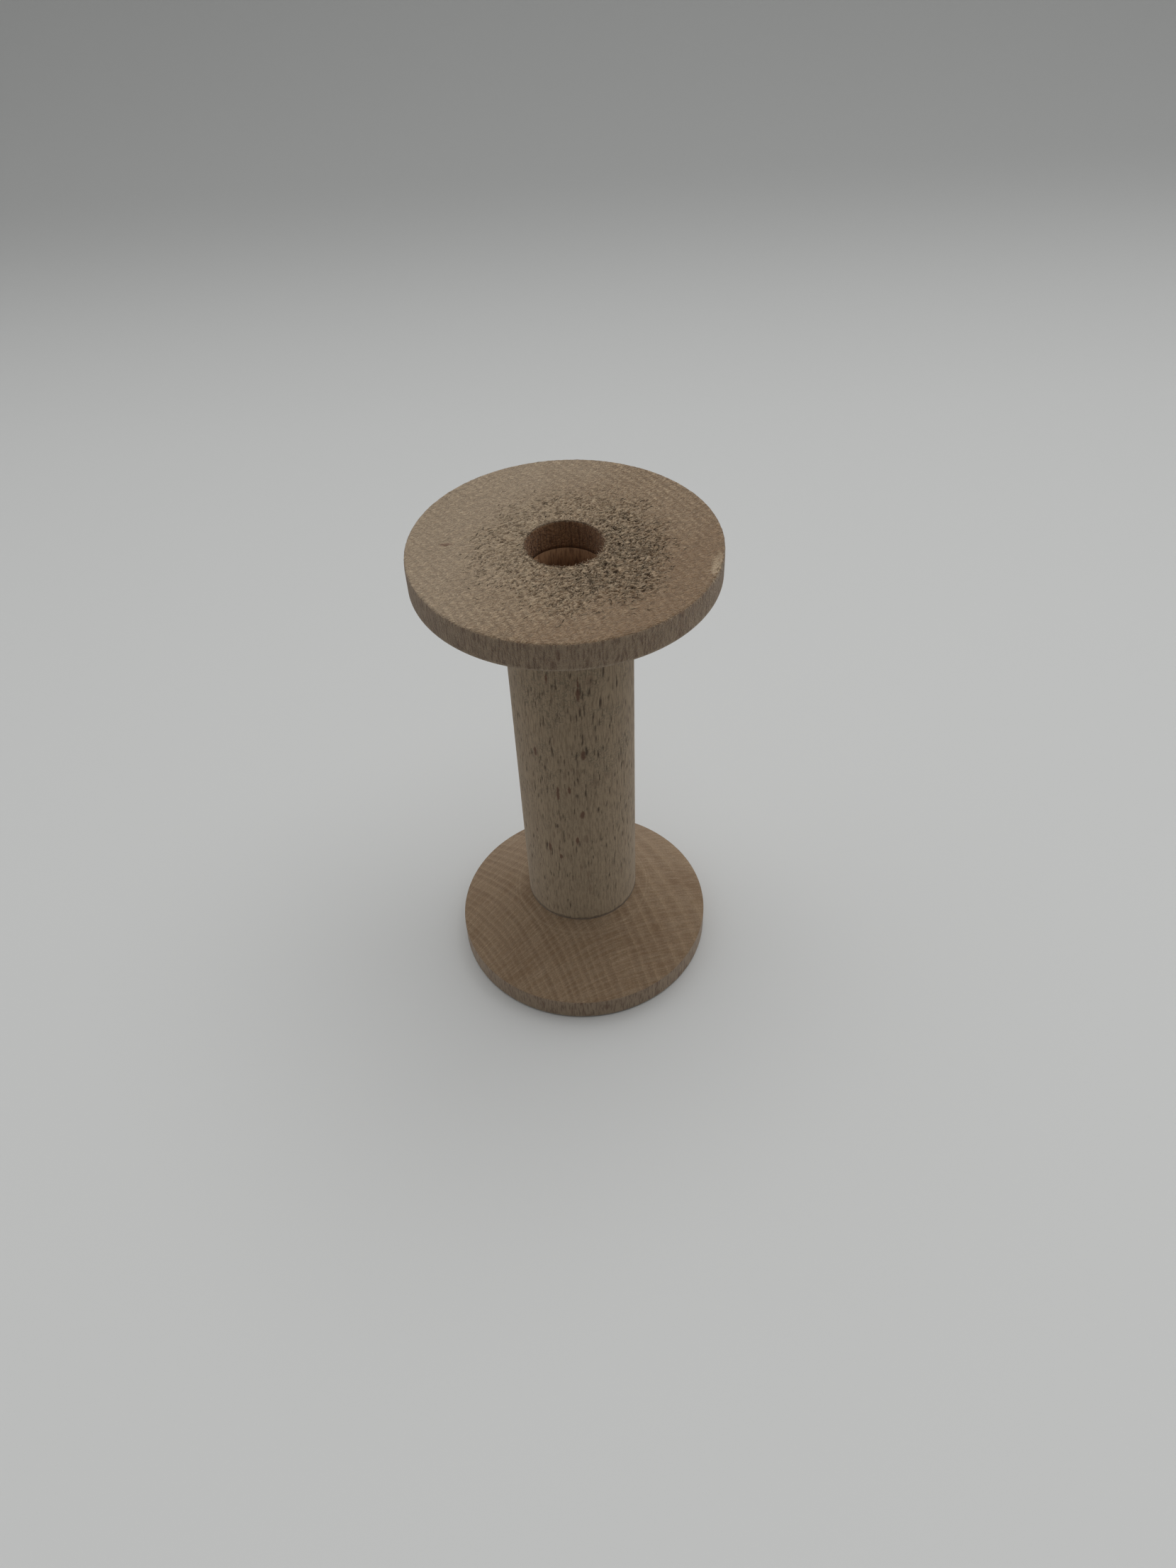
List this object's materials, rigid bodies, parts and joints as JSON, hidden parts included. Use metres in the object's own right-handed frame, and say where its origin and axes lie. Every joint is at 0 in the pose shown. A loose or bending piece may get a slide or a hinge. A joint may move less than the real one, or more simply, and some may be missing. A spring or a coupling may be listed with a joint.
{
  "type": "wooden spool",
  "caption": "Turned wooden thread spool: a bored barrel glued between round flanges whose inner faces slope to the barrel.",
  "frame": {"origin": "centre of the outer face of lower_flange, on the surface that the spool stands on", "axes": "+Z along the bore from lower_flange to upper_flange, +X and +Y across it; the side facing -Y is the one that faced the camera"},
  "size_m": [0.0403, 0.0402, 0.076],
  "materials": {
    "side_grain_beech": "bare, greyed long grain with dark flecks, matt and slightly rough",
    "end_grain_beech": "bare end grain with straight growth rings, matt, torn and fuzzy round the bore"
  },
  "bodies": {
    "root": {"barrel": "side_grain_beech", "upper_flange": "end_grain_beech", "lower_flange": "end_grain_beech"}
  },
  "joints": []
}
